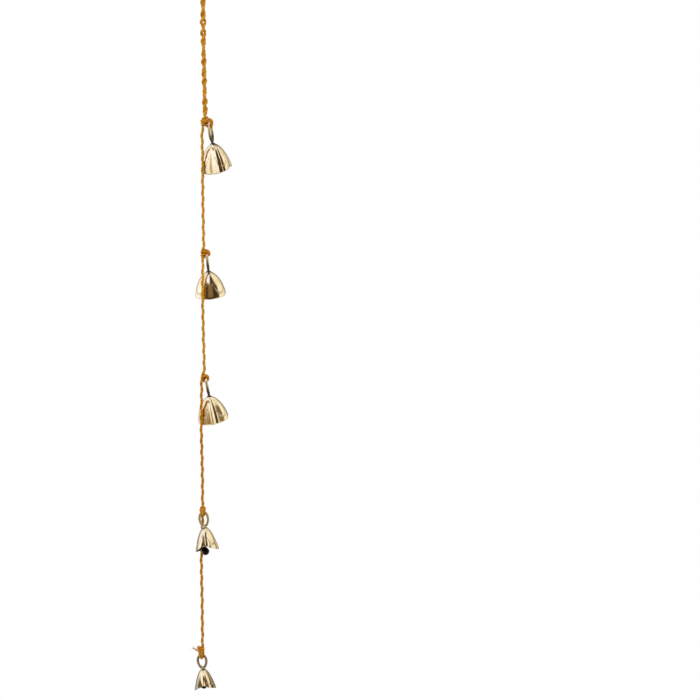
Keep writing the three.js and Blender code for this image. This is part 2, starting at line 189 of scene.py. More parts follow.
def makeBrass(name, finish):
    material, tree, shader = newMaterial(name)
    coords = addNode(tree, "ShaderNodeTexCoord")
    tarnish = addNode(tree, "ShaderNodeGroup", {"node_tree": tarnishGroup},
                      {"Scale": finish["scale"], "Amount": finish["amount"]})
    polish = addNode(tree, "ShaderNodeGroup", {"node_tree": polishGroup})
    tint = addMix(tree, finish["bright"], finish["dull"])
    # the darkening attribute: painted shade on the rings' lower parts and necks, and the darker lower shells; the
    # darker of it and the tarnish wins
    darkening = addNode(tree, "ShaderNodeAttribute", {"attribute_name": "darkening"})
    tarnishAndDarkening = addNode(tree, "ShaderNodeMath", {"operation": "MAXIMUM"})
    gloss = addNode(tree, "ShaderNodeMapRange", values={"To Min": finish["smooth"], "To Max": finish["rough"]})
    panel = addNode(tree, "ShaderNodeAttribute", {"attribute_name": "panel"})
    flats = addNode(tree, "ShaderNodeBump", values={"Strength": 1.0, "Distance": 0.001})
    bump = addNode(tree, "ShaderNodeBump", values={"Strength": finish["bump"], "Distance": 0.0002})
    join(tree, (coords, "Object", tarnish, "Vector"), (coords, "Object", polish, "Vector"),
         (tarnish, "Mask", tarnishAndDarkening, 0), (darkening, "Fac", tarnishAndDarkening, 1), (tarnishAndDarkening, 0, tint, "Factor"), (tarnishAndDarkening, 0, gloss, "Value"),
         (panel, "Fac", flats, "Height"), (flats, "Normal", bump, "Normal"), (polish, "Height", bump, "Height"))
    dressMetal(tree, shader, finish, tint, gloss, bump)
    return material


ironFinishes = {
    "blackIron": {"bright": (0.012, 0.012, 0.011), "dull": (0.005, 0.005, 0.005), "smooth": 0.3, "rough": 0.55,
                  "metal": 0.7, "bump": 0.35},
    "ironWire": {"bright": (0.17, 0.15, 0.13), "dull": (0.05, 0.035, 0.025), "smooth": 0.35, "rough": 0.6,
                 "metal": 1.0, "bump": 0.3},
}


def makeIron(name, finish):
    material, tree, shader = newMaterial(name)
    coords = addNode(tree, "ShaderNodeTexCoord")
    tarnish = addNode(tree, "ShaderNodeGroup", {"node_tree": tarnishGroup}, {"Scale": 420.0, "Amount": 1.0})
    pits = addNode(tree, "ShaderNodeTexNoise", values={"Scale": 900.0, "Detail": 5.0})
    tint = addMix(tree, finish["bright"], finish["dull"])
    gloss = addNode(tree, "ShaderNodeMapRange", values={"To Min": finish["smooth"], "To Max": finish["rough"]})
    bump = addNode(tree, "ShaderNodeBump", values={"Strength": finish["bump"], "Distance": 0.0003})
    join(tree, (coords, "Object", tarnish, "Vector"), (coords, "Object", pits, "Vector"),
         (tarnish, "Mask", tint, "Factor"), (tarnish, "Mask", gloss, "Value"), (pits, "Fac", bump, "Height"))
    dressMetal(tree, shader, finish, tint, gloss, bump)
    return material


yarnFinishes = {
    "orangeYarn": {"dark": (0.28, 0.08, 0.002), "mid": (0.70, 0.295, 0.005), "light": (0.98, 0.62, 0.05),
                   "slope": 0.75, "fineness": 6.0, "bump": 0.9},
    # a darker copy of the orange yarn as painted shade, for the knots and the two lowest cords
    "shadedYarn": {"dark": (0.22, 0.055, 0.002), "mid": (0.60, 0.21, 0.004), "light": (0.86, 0.44, 0.016),
                 "slope": 0.75, "fineness": 6.0, "bump": 0.9},
    "looseFibre": {"dark": (0.45, 0.17, 0.008), "mid": (0.70, 0.33, 0.02), "light": (0.82, 0.46, 0.06),
                   "slope": 0.2, "fineness": 3.0, "bump": 0.2},
}


def makeYarn(name, finish):
    material, tree, shader = newMaterial(name)
    coords = addNode(tree, "ShaderNodeTexCoord")
    fibres = addNode(tree, "ShaderNodeGroup", {"node_tree": fibreGroup},
                     {"Slope": finish["slope"], "Fineness": finish["fineness"]})
    ramp = addRamp(tree, [(0.36, finish["dark"]), (0.5, finish["mid"]), (0.66, finish["light"])])
    fade = addMix(tree, blend="MULTIPLY")
    fade.inputs["Factor"].default_value = 0.55
    shade = addRamp(tree, [(0.3, (0.55, 0.5, 0.45)), (0.62, (1.0, 1.0, 1.0))])
    bump = addNode(tree, "ShaderNodeBump", values={"Strength": finish["bump"], "Distance": 0.00025})
    join(tree, (coords, "UV", fibres, "Vector"), (fibres, "Fibre", ramp, "Fac"), (fibres, "Patch", shade, "Fac"),
         (ramp, "Color", fade, "A"), (shade, "Color", fade, "B"), (fibres, "Fibre", bump, "Height"),
         (fade, "Result", shader, "Base Color"), (bump, "Normal", shader, "Normal"))
    shader.inputs["Roughness"].default_value = 0.9
    shader.inputs["Specular IOR Level"].default_value = 0.2
    return material


goldFinish = {"bright": (0.92, 0.66, 0.16), "dull": (0.62, 0.38, 0.05), "smooth": 0.3, "rough": 0.5, "metal": 0.3}


def makeGoldThread(name, finish):
    material, tree, shader = newMaterial(name)
    coords = addNode(tree, "ShaderNodeTexCoord")
    fibres = addNode(tree, "ShaderNodeGroup", {"node_tree": fibreGroup}, {"Slope": 2.4, "Fineness": 4.0})
    tint = addMix(tree, finish["dull"], finish["bright"])
    gloss = addNode(tree, "ShaderNodeMapRange", values={"To Min": finish["rough"], "To Max": finish["smooth"]})
    bump = addNode(tree, "ShaderNodeBump", values={"Strength": 0.6, "Distance": 0.0001})
    join(tree, (coords, "UV", fibres, "Vector"), (fibres, "Fibre", tint, "Factor"),
         (fibres, "Patch", gloss, "Value"), (fibres, "Fibre", bump, "Height"))
    dressMetal(tree, shader, finish, tint, gloss, bump)
    return material


brass = {name: makeBrass(name, finish) for name, finish in brassFinishes.items()}
iron = {name: makeIron(name, finish) for name, finish in ironFinishes.items()}
yarn = {name: makeYarn(name, finish) for name, finish in yarnFinishes.items()}
goldThread = makeGoldThread("goldThread", goldFinish)
yarnSlots = [yarn["orangeYarn"], goldThread, yarn["looseFibre"]]
shadedYarnSlots = [yarn["shadedYarn"], goldThread, yarn["looseFibre"]]
print("materials made:", len(bpy.data.materials))


# pieces

def finishPiece(name, bm, materials, body, nodes):
    mesh = bpy.data.meshes.new(name)
    bm.to_mesh(mesh)
    bm.free()
    for material in materials:
        mesh.materials.append(material)
    for polygon in mesh.polygons:
        polygon.use_smooth = True
    piece = bpy.data.objects.new(name, mesh)
    scene.collection.objects.link(piece)
    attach(piece, body)
    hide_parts(*nodes)
    return piece


def finishYarn(node, bm, materials):
    return finishPiece(node + "_yarn", bm, materials, "cord", [node])


# a smooth line through route points, sampled about every step
def smoothLine(points, step):
    points = [Vector(point) for point in points]
    line = []
    for i in range(len(points) - 1):
        a, b = points[i], points[i + 1]
        before = points[max(i - 1, 0)]
        after = points[min(i + 2, len(points) - 1)]
        reach = (b - a).length / 3
        handleA = a + (b - before).normalized() * reach
        handleB = b - (after - a).normalized() * reach
        count = max(2, round(3 * reach / step) + 1)
        line += interpolate_bezier(a, handleA, handleB, b, count)[:-1]
    return line + [points[-1]]


def lineLength(line):
    return sum((b - a).length for a, b in zip(line, line[1:]))


# a line that winds round another
def windRound(line, radius, pitch, phase):
    side = Vector((1, 0, 0))
    along = 0.0
    wound = []
    for i, point in enumerate(line):
        ahead = (line[min(i + 1, len(line) - 1)] - line[max(i - 1, 0)]).normalized()
        side = side - ahead * side.dot(ahead)
        if side.length < 1e-6:
            side = ahead.orthogonal()
        side.normalize()
        turn = phase + 2 * math.pi * along / pitch
        wound.append(point + (side * math.cos(turn) + ahead.cross(side) * math.sin(turn)) * radius)
        if i + 1 < len(line):
            along += (line[i + 1] - point).length
    return wound


# round strands along lines in mm, added to a piece
def addStrands(bm, lines, thickness, roundness, material, swell=None):
    curve = bpy.data.curves.new("strand", "CURVE")
    curve.dimensions = "3D"
    curve.bevel_depth = thickness * mm
    curve.bevel_resolution = roundness
    curve.use_fill_caps = True
    for line in lines:
        spline = curve.splines.new("POLY")
        spline.points.add(len(line) - 1)
        for i, (point, place) in enumerate(zip(spline.points, line)):
            point.co = (*(place * mm), 1)
            point.radius = swell(i / (len(line) - 1)) if swell else 1.0
    holder = bpy.data.objects.new("strand", curve)
    mesh = bpy.data.meshes.new_from_object(holder)
    around = 2 * math.pi * thickness
    length = lineLength(lines[0])
    for corner in mesh.uv_layers[0].data:
        corner.uv = (corner.uv[0] * around, corner.uv[1] * length)
    for polygon in mesh.polygons:
        polygon.material_index = material
    bm.from_mesh(mesh)
    bpy.data.objects.remove(holder)
    bpy.data.curves.remove(curve)
    bpy.data.meshes.remove(mesh)


def randomVector(spread, middle=(0, 0, 0)):
    return Vector([chance.gauss(place, reach) for place, reach in zip(middle, spread)])


plySlot, goldSlot, fibreSlot = 0, 1, 2  # places in a yarn piece's list of materials
hairSettings = {"thick": 0.035, "root": 0.9, "ways": (1, 1, 1), "lean": 1.2, "bend": (0.3, 0.3, 0.3),
                "shortest": 0.4, "thinning": 0.6, "along": (0, 0.35, 0.7, 1.0)}


# short stray hairs that stand off a strand
def addFuzz(bm, line, thickness, count, reach):
    s = hairSettings
    hairs = []
    for _ in range(count):
        i = chance.randrange(1, len(line) - 1)
        ahead = (line[i + 1] - line[i - 1]).normalized()
        out = randomVector(s["ways"])
        out = (out - ahead * out.dot(ahead)).normalized()
        lean = ahead * chance.uniform(-s["lean"], s["lean"])
        bend = randomVector(s["bend"])
        root = line[i] + out * thickness * s["root"]
        size = chance.uniform(s["shortest"], 1.0) * reach
        hairs.append([root + (out + lean * t + bend * t * t) * size * t for t in s["along"]])
    addStrands(bm, hairs, s["thick"], 0, fibreSlot, lambda t: 1.0 - s["thinning"] * t)


yarnSettings = {"ply": 1.2, "plyRound": 3, "plyWander": 0.5, "pitch": 10.9, "gold": 0.28, "goldRound": 1,
                "goldReach": 0.98, "fuzzPerMm": 0.9, "fuzzReach": 1.3, "step": 0.7, "lumps": 0.09, "lumpsPerMm": 0.25,
                "lumpRange": 50, "phaseRange": 6, "loopPhase": 1.0}


# one strand of cord: an orange ply that wanders round its middle and a gold thread laid into it
def layYarn(bm, line, phase, thick=1.0, fuzz=1.0):
    s = yarnSettings
    length = lineLength(line)
    lump = chance.uniform(0, s["lumpRange"])
    ply = windRound(line, s["plyWander"] * thick, s["pitch"], phase)
    addStrands(bm, [ply], s["ply"] * thick, s["plyRound"], plySlot,
               lambda t: 1.0 + s["lumps"] * noise.noise(Vector((lump, t * length * s["lumpsPerMm"], 0))))
    gold = windRound(line, s["goldReach"] * thick, s["pitch"], phase + math.pi)
    addStrands(bm, [gold], s["gold"] * thick, s["goldRound"], goldSlot)
    count = int(length * s["fuzzPerMm"] * fuzz)
    if count:
        addFuzz(bm, ply, s["ply"] * thick, count, s["fuzzReach"])


def atHeight(points, height):
    return [Vector((x, y, z + height)) for x, y, z in points]


# the cord through each knot, in mm, heights from its bell's strand
knotRuns = [
    [(2.0, 0, 12), (2.2, 0, 8.8), (2.6, 0, 5.8), (0.2, -0.9, 1.4), (-0.5, -2, -2.6)],
    [(0.6, 0, 9.7), (0.3, 0, 6.3), (-0.5, 0, 3.1), (-0.2, -0.8, -1.2), (0, -2.2, -5.5)],
    [(1.2, 0, 12), (1.0, 0.2, 9.1), (0.4, 0.3, 6.4), (-1.1, -0.4, 2.1), (-1.3, -1.4, -1.4), (-1.2, -2.5, -5.4)],
    [(-0.4, 0, 12.8), (-0.4, 0.2, 10), (-0.4, 1.2, 7.2), (-0.5, 4.3, 2.8), (-0.6, 4.7, -3.6)],
    [(-0.5, 0, 13.4), (-0.8, 0, 10.4), (-2.0, 0, 6.4)],
]
knotRuns = [atHeight(run, height) for run, height in zip(knotRuns, bellHeights)]

# free cord between the knots, in mm
cordRuns = {
    "cord_top": [(0.1, 0, -62), (0.3, 0, -80), (0.5, 0, -98), (0.9, 0, -116), (1.3, 0, -134),
                 (1.7, 0, -150), (1.95, 0, -159)],
    "cord_1_to_2": [(-0.8, -2.1, -183.4), (-0.7, -2, -191), (-0.4, -1.9, -201),
                    (-0.3, -1.8, -212), (-0.3, -1.7, -224), (-0.1, -1.2, -242), (0.2, -0.6, -262),
                    (0.5, -0.2, -281)],
    "cord_2_to_3": [(0, -3.6, -308), (0, -6, -317), (0, -7.6, -327), (0, -8.2, -338),
                    (0.1, -7, -350), (0.4, -3.6, -368), (0.8, -1.2, -387), (1.1, -0.2, -399)],
    "cord_3_to_4": [(-1.2, -3, -427), (-1.2, -4, -436), (-1.3, -4.8, -446),
                    (-1.4, -5.1, -457), (-1.3, -4.6, -470), (-0.9, -2.4, -489), (-0.5, -0.8, -510),
                    (-0.4, -0.1, -525)],
    "cord_4_to_5": [(-0.7, 5.2, -553), (-1.1, 7.2, -563), (-1.7, 8.1, -574),
                    (-1.9, 7.6, -586), (-1.6, 4.6, -602), (-1.0, 1.8, -622), (-0.7, 0.6, -643),
                    (-0.5, 0.1, -660)],
}
hangingLoopRun = [(-1.5, 0, -41.4), (-3.2, 0, -35), (-6.3, 0, -20), (-6.2, 0, -6.2), (-4.3, 0, -1), (0, 0, 1.25),
                  (4.3, 0, -1), (6.2, 0, -6.2), (6.3, 0, -20), (3.2, 0, -35), (1.5, 0, -41.4)]
loopKnotRun = [(0.2, 0, -45), (-0.2, 0, -49), (0, 0, -52)]
tailRun = atHeight([(-4.9, 0.1, 7), (-7.2, 0.4, 7.9), (-9.2, 0.3, 9.1), (-10.8, 0, 9.7)], bellHeights[4])

doubledSettings = {"drawnIn": 9.0, "ends": 0.55, "twist": 18.6, "start": 1.7, "thick": 1.04, "phaseShare": 0.7,
                   "diameter": 0.0046}
strandsApart = [(-50, 1.3), (-70, 1.2), (-76.4, 2.0), (-80.7, 1.0), (-84.8, 1.9), (-89.3, 1.0), (-95, 1.25),
                (-104.5, 0.7), (-112, 1.1), (-127, 1.25), (-138.8, 0.7), (-147, 1.2),
                (-170, 1.2)]  # height, and half the gap there
# the two lowest cords take the painted-shade yarn
shadedRuns = ("cord_3_to_4", "cord_4_to_5")


# a stretch runs on inside the knots at both its ends
def cordLine(name):
    run = cordRuns[name]
    if name == "cord_top":
        points = loopKnotRun + run + knotRuns[0][:3]
    else:
        upper = int(name[5]) - 1
        points = knotRuns[upper][2:] + run + knotRuns[upper + 1][:3]
    return smoothLine(points, yarnSettings["step"])


def apartAt(height):
    for (top, wide), (foot, narrow) in zip(strandsApart, strandsApart[1:]):
        if height >= foot:
            break
    return wide + (narrow - wide) * min(max((top - height) / (top - foot), 0), 1)


cordPieces = {}
cordLines = {}
for name in cordRuns:
    line = cordLine(name)
    bm = bmesh.new()
    if name == "cord_top":
        s = doubledSettings
        for turn in (0.0, math.pi):
            strand = windRound(line, 1.0, s["twist"], turn + s["start"])
            for i, point in enumerate(strand):
                fromEnd = min(i, len(strand) - 1 - i) * yarnSettings["step"]
                spread = s["ends"] + (1 - s["ends"]) * min(fromEnd / s["drawnIn"], 1)
                strand[i] = line[i].lerp(point, apartAt(line[i].z) * spread)
            layYarn(bm, strand, turn * s["phaseShare"], s["thick"])
    else:
        layYarn(bm, line, chance.uniform(0, yarnSettings["phaseRange"]))
    cordPieces[name] = finishYarn(name, bm, shadedYarnSlots if name in shadedRuns else yarnSlots)
    cordLines[name] = line
loopLine = smoothLine(hangingLoopRun, yarnSettings["step"])
bm = bmesh.new()
layYarn(bm, loopLine, yarnSettings["loopPhase"])
loopPiece = finishYarn("hanging_loop", bm, yarnSlots)
print("cords laid:", len(cordPieces) + 1)


# bells, in mm; the two small ones' crowns stand a little higher than the part's
largeBell = {"height": 25.3, "lobe": 16.2, "wall": 0.9, "crownRound": 0.57, "upright": 1.5, "lobeDrop": 2.3,
             "notchRise": 1.2, "pinch": 0.09, "pinchHalf": 0.6, "ringHeight": 18.6, "ringWidth": 11.6,
             "ringBar": 2.2, "ringThick": 2.5, "clapperDrop": 19, "ball": 8, "neck": 1.45, "footRise": 0.4,
             "ringTaper": 0.13, "foot": 1.0, "eyeDepth": 4.4}
firstBell = {**largeBell, "height": 27.4, "lobe": 15.4}
smallBell = {"height": 22.3, "lobe": 11.4, "wall": 0.8, "crownRound": 0.46, "upright": 1.0, "lobeDrop": 2.3,
             "notchRise": 1.7, "pinch": 0.24, "pinchHalf": 0.75, "ringHeight": 15.5, "ringWidth": 10.6,
             "ringBar": 2.4, "ringThick": 2.4, "clapperDrop": 23.1, "ball": 7.2, "neck": 2.2, "footRise": 0.9,
             "ringTaper": 0.12, "foot": -0.6, "eyeDepth": 5.9}
lastBell = {**smallBell, "height": 19.6, "lobe": 10.5, "crownRound": 0.48, "lobeDrop": 1.9, "notchRise": 1.4,
            "ringHeight": 14.0, "clapperDrop": 16.2, "ball": 6.4, "footRise": 0.4, "eyeDepth": 6.4}
bells = [
    {"size": firstBell, "x": 6.8, "y": -1.6, "tilt": 9, "lean": 14, "turn": -16, "waves": 0.06, "wavePhase": 0.4},
    {"size": largeBell, "x": 3.7, "y": 2, "tilt": 5, "lean": 9, "turn": 0, "waves": 0.03, "wavePhase": 1.7},
    {"size": largeBell, "x": 2.9, "y": 2, "tilt": 10.5, "lean": 9, "turn": 0, "waves": 0.06, "wavePhase": 3.1},
    {"size": smallBell, "x": 0.3, "y": 0, "tilt": 7, "lean": -5, "turn": 78, "waves": 0.08, "wavePhase": 4.6},
    {"size": lastBell, "x": -1.2, "y": 0, "tilt": 7, "lean": -2, "turn": 78, "waves": 0.08, "wavePhase": 5.5},
]
# how much darker each shell is made: only the lowest two, the lowest most
shellDarkening = [0, 0, 0, 0.08, 0.2]
# how much darker each ring is made at its top and at its foot: painted shade growing towards the foot of the three
# big rings; the two small rings are darkened nearly evenly
ringDarkening = [(0, 0.95), (0, 0.95), (0, 0.95), (0.35, 0.4), (0.6, 0.6)]  # at the top, at the foot

# upright panels left by filing, from 90 degrees left of the viewer's side to 90 right: where each ends,
# then how far its face turns to the right at its left and right edges
panelLists = [
    [(-40, 0, 0), (-26, 0, -9), (-14, 1, -11), (9.5, -21, -45), (21, 0, 0), (26, 15, 10), (35, -5, -14), (53, 9, 0),
     (90, 0, 0)],
    [(90, 0, 0)],
    [(-52, 0, 0), (-33, 24, 5), (-17, 12, -4), (-2, -8, -23), (10, 39, 27), (17, 0, 0), (23, 18, 12),
     (44, 7.5, -12.5), (90, 0, 0)],
    [(-48, 10, -24), (-25, -6, -28), (-9, 13, 19), (-4, -25, -25), (9, 21, 15), (16, -22, -30), (35, 38, 6),
     (50, 2, 0), (70, 22, 5), (90, 0, 0)],
    [(-46, 8, -35), (-28, 16, -4), (-9, -14, -33), (4, 7, -5), (17, 32, 19), (27, 25, 6), (38, 20, 8), (54, -18, -35),
     (90, 25, -6)],
]
fitting = {"gap": 0.3, "tie": 1.1, "stem": 1.5, "hole": 1.95, "seat": 2.0, "collar": 2.35, "collarGap": 0.2,
           "eye": 2.0, "eyeBar": 0.7, "wire": 0.65, "wireLoop": 2.0}


def crownHeight(size):
    return fitting["tie"] + fitting["gap"] + size["ringBar"] - size["ringHeight"]


# the strand's frame and the crown's frame of a bell, in mm
def strandFrame(n):
    bell = bells[n]
    place = Matrix.Translation((bell["x"], bell["y"], bellHeights[n]))
    tilt = Matrix.Rotation(math.radians(-bell["tilt"]), 4, "Y")
    lean = Matrix.Rotation(math.radians(bell["lean"]), 4, "X")
    return place @ tilt @ lean @ Matrix.Rotation(math.radians(bell["turn"]), 4, "Z")


def crownFrame(n):
    return strandFrame(n) @ Matrix.Translation((0, 0, crownHeight(bells[n]["size"])))


toMetres = Matrix.Scale(mm, 4)


def sidePinch(size, angle):
    fromSide = abs(abs(math.atan2(math.sin(angle), math.cos(angle))) - math.pi / 2)
    return 0.5 + 0.5 * math.cos(math.pi * min(fromSide / size["pinchHalf"], 1))


def rimDepth(size, angle):
    return size["height"] - size["lobeDrop"] * math.sin(angle) ** 2 - size["notchRise"] * sidePinch(size, angle)


def domeRadius(size, depth):
    return size["lobe"] * (1 - (1 - depth / size["height"]) ** size["upright"]) ** size["crownRound"]


def domeDepth(size, radius):
    rise = (radius / size["lobe"]) ** (1 / size["crownRound"])
    return size["height"] * (1 - (1 - rise) ** (1 / size["upright"]))


shellSettings = {"ticks": 88, "rows": 28, "tickRow": 16, "tickWide": 0.34, "tickLong": 2.0, "tickDepth": 0.13,
                 "tickEdge": 0.05, "rowEase": 1.3, "garlandAt": 43, "garlandHalf": 27, "garlandLow": 0.86,
                 "garlandTop": 0.47, "garlandBend": 2.4, "pinchGrows": 1.5, "lip": 0.22, "lipDepth": 0.015,
                 "dents": [(13, 1.0, 1.0), (18, 2.3, 0.8)],  # waves round a bell, their shift and their share
                 "patches": 3, "patchShift": 1.3, "dentMean": 0.75, "dentSwing": 0.35}


# how far across its garland an angle lies, -1 to 1 inside it
def garlandPlace(angle):
    s = shellSettings
    fromLobe = abs(math.degrees(math.atan2(math.sin(angle), math.cos(angle))))
    fromLobe = min(fromLobe, 180 - fromLobe)
    return (fromLobe - s["garlandAt"]) / s["garlandHalf"]


def shellPlace(bell, angle, share):
    size = bell["size"]
    s = shellSettings
    top = domeDepth(size, fitting["hole"])
    depth = top + (rimDepth(size, angle) - top) * share
    radius = domeRadius(size, depth) * (1 - size["pinch"] * sidePinch(size, angle) * share ** s["pinchGrows"])
    phase = bell["wavePhase"]
    wave = sum(part * math.sin(rounds * angle + shift * phase) for rounds, shift, part in s["dents"])
    wave *= s["dentMean"] + s["dentSwing"] * math.sin(s["patches"] * angle + s["patchShift"] * phase)
    radius += bell["waves"] * wave * radius / size["lobe"]
    radius -= s["lip"] * max(0, (share - 1 + s["lipDepth"]) / s["lipDepth"]) ** 2
    return Vector((-radius * math.sin(angle), radius * math.cos(angle), -depth))


# the height of the panels on a circle of radius 1, the same on the far side
def panelHeight(n, angle):
    across = (math.degrees(angle) + bells[n]["turn"]) % 360 - 180
    if abs(across) > 90:
        across = math.copysign(180, across) - across
    height, start = 0.0, -90.0
    for end, turnStart, turnEnd in panelLists[n]:
        share = min((across - start) / (end - start), 1)
        slope = math.tan(math.radians(turnStart + (turnEnd - turnStart) * share / 2))
        height -= slope * math.radians((end - start) * share)
        if across <= end:
            break
        start = end
    return height


def makeShell(n):
    bell = bells[n]
    s = shellSettings
    bm = bmesh.new()
    panelOf = bm.verts.layers.float.new("panel")
    darkeningOf = bm.verts.layers.float.new("darkening")
    profile = [bm.verts.new((0, 1, -row / s["rows"])) for row in range(s["rows"] + 1)]
    for a, b in zip(profile, profile[1:]):
        bm.edges.new((a, b))
    bmesh.ops.spin(bm, geom=bm.verts[:] + bm.edges[:], cent=(0, 0, 0), axis=(0, 0, 1), angle=2 * math.pi,
                   steps=2 * s["ticks"], use_merge=True)
    rowOf = bm.verts.layers.int.new("row")
    columnOf = bm.verts.layers.int.new("column")
    for vert in bm.verts:
        vert[rowOf] = round(-vert.co.z * s["rows"])
        turn = math.atan2(-vert.co.x, vert.co.y) % (2 * math.pi)
        vert[columnOf] = round(turn * s["ticks"] / math.pi) % (2 * s["ticks"])
    pitch = 2 * math.pi / s["ticks"]
    long = s["tickLong"] / bell["size"]["height"]
    for vert in bm.verts:
        row, column = vert[rowOf], vert[columnOf]
        side = (column % 2) * 2 - 1
        middle = (column // 2) * pitch
        angle = middle + side * s["tickWide"] * pitch / 2
        u = min(abs(garlandPlace(middle)), 1)
        low = s["garlandLow"] - (s["garlandLow"] - s["garlandTop"]) * u ** s["garlandBend"]
        if row <= s["tickRow"]:
            share = (low - long) * (row / s["tickRow"]) ** s["rowEase"]
        else:
            share = low + (1 - low) * (row - s["tickRow"] - 1) / (s["rows"] - s["tickRow"] - 1)
        vert.co = shellPlace(bell, angle, share)
        vert[panelOf] = panelHeight(n, angle) * math.hypot(vert.co.x, vert.co.y)
        vert[darkeningOf] = shellDarkening[n]
    bmesh.ops.recalc_face_normals(bm, faces=bm.faces[:])
    ticks = []
    for face in bm.faces:
        rows = {vert[rowOf] for vert in face.verts}
        columns = sorted({vert[columnOf] for vert in face.verts})
        onTick = columns[0] % 2 == 0 and columns[-1] - columns[0] == 1
        if rows == {s["tickRow"], s["tickRow"] + 1} and onTick:
            if abs(garlandPlace(columns[0] // 2 * pitch)) < 1:
                ticks.append(face)
    made = bmesh.ops.inset_individual(bm, faces=ticks, thickness=s["tickEdge"], depth=-s["tickDepth"])
    for face in ticks + made["faces"]:
        face.material_index = 1
    bm.transform(toMetres @ crownFrame(n))
    shell = finishPiece(f"bell_{n + 1}_shell_brass", bm,
                        [brass["polishedBrass"], brass["engravedBrass"], brass["shadedInnerBrass"], brass["shadedInnerBrass"]],
                        f"bell_{n + 1}", [f"bell_{n + 1}_shell"])
    wall = shell.modifiers.new("wall", "SOLIDIFY")
    wall.thickness = bell["size"]["wall"] * mm
    wall.offset = -1
    # the inner wall takes the painted-shade brass
    wall.material_offset = 2
    wall.material_offset_rim = 0


ringSettings = {"points": 64, "edge": 0.8, "edgeSteps": 4, "corner": 1.0, "cast": 0.1, "castGrain": 0.35,
                "castShift": 7, "shadeTop": 0.72, "shadeFade": 0.4, "stemSteps": 28, "flat": 0.48, "eyePoints": 10,
                "eyeSteps": 28, "weld": 0.0005, "collarTop": 0.3, "neckTop": 2.2,
                "collarEdge": [(0, 0), (0, 0.1), (-0.1, 0.3)],  # out from the collar's radius, up from its rim
                "neckEdge": [(0, 0), (-0.15, 0.7), (-0.6, 1.4), (-1.2, 1.9)]}  # from the neck's radius and the crown


# an egg outline with its foot raised
def eggLoop(bm, halfWidth, halfHeight, middle, taper, rise):
    made = bmesh.ops.create_circle(bm, segments=ringSettings["points"], radius=1)
    for vert in made["verts"]:
        across, up, _ = vert.co
        low = min(up, 0) ** 2
        vert.co = (0, halfWidth * across * (1 + taper * up), middle + halfHeight * up + rise * low)
    return list({edge for vert in made["verts"] for edge in vert.link_edges})


# the underside of the collar, which follows the crown's slope
def seatHeight(size, radius):
    return fitting["collarGap"] - domeDepth(size, radius)


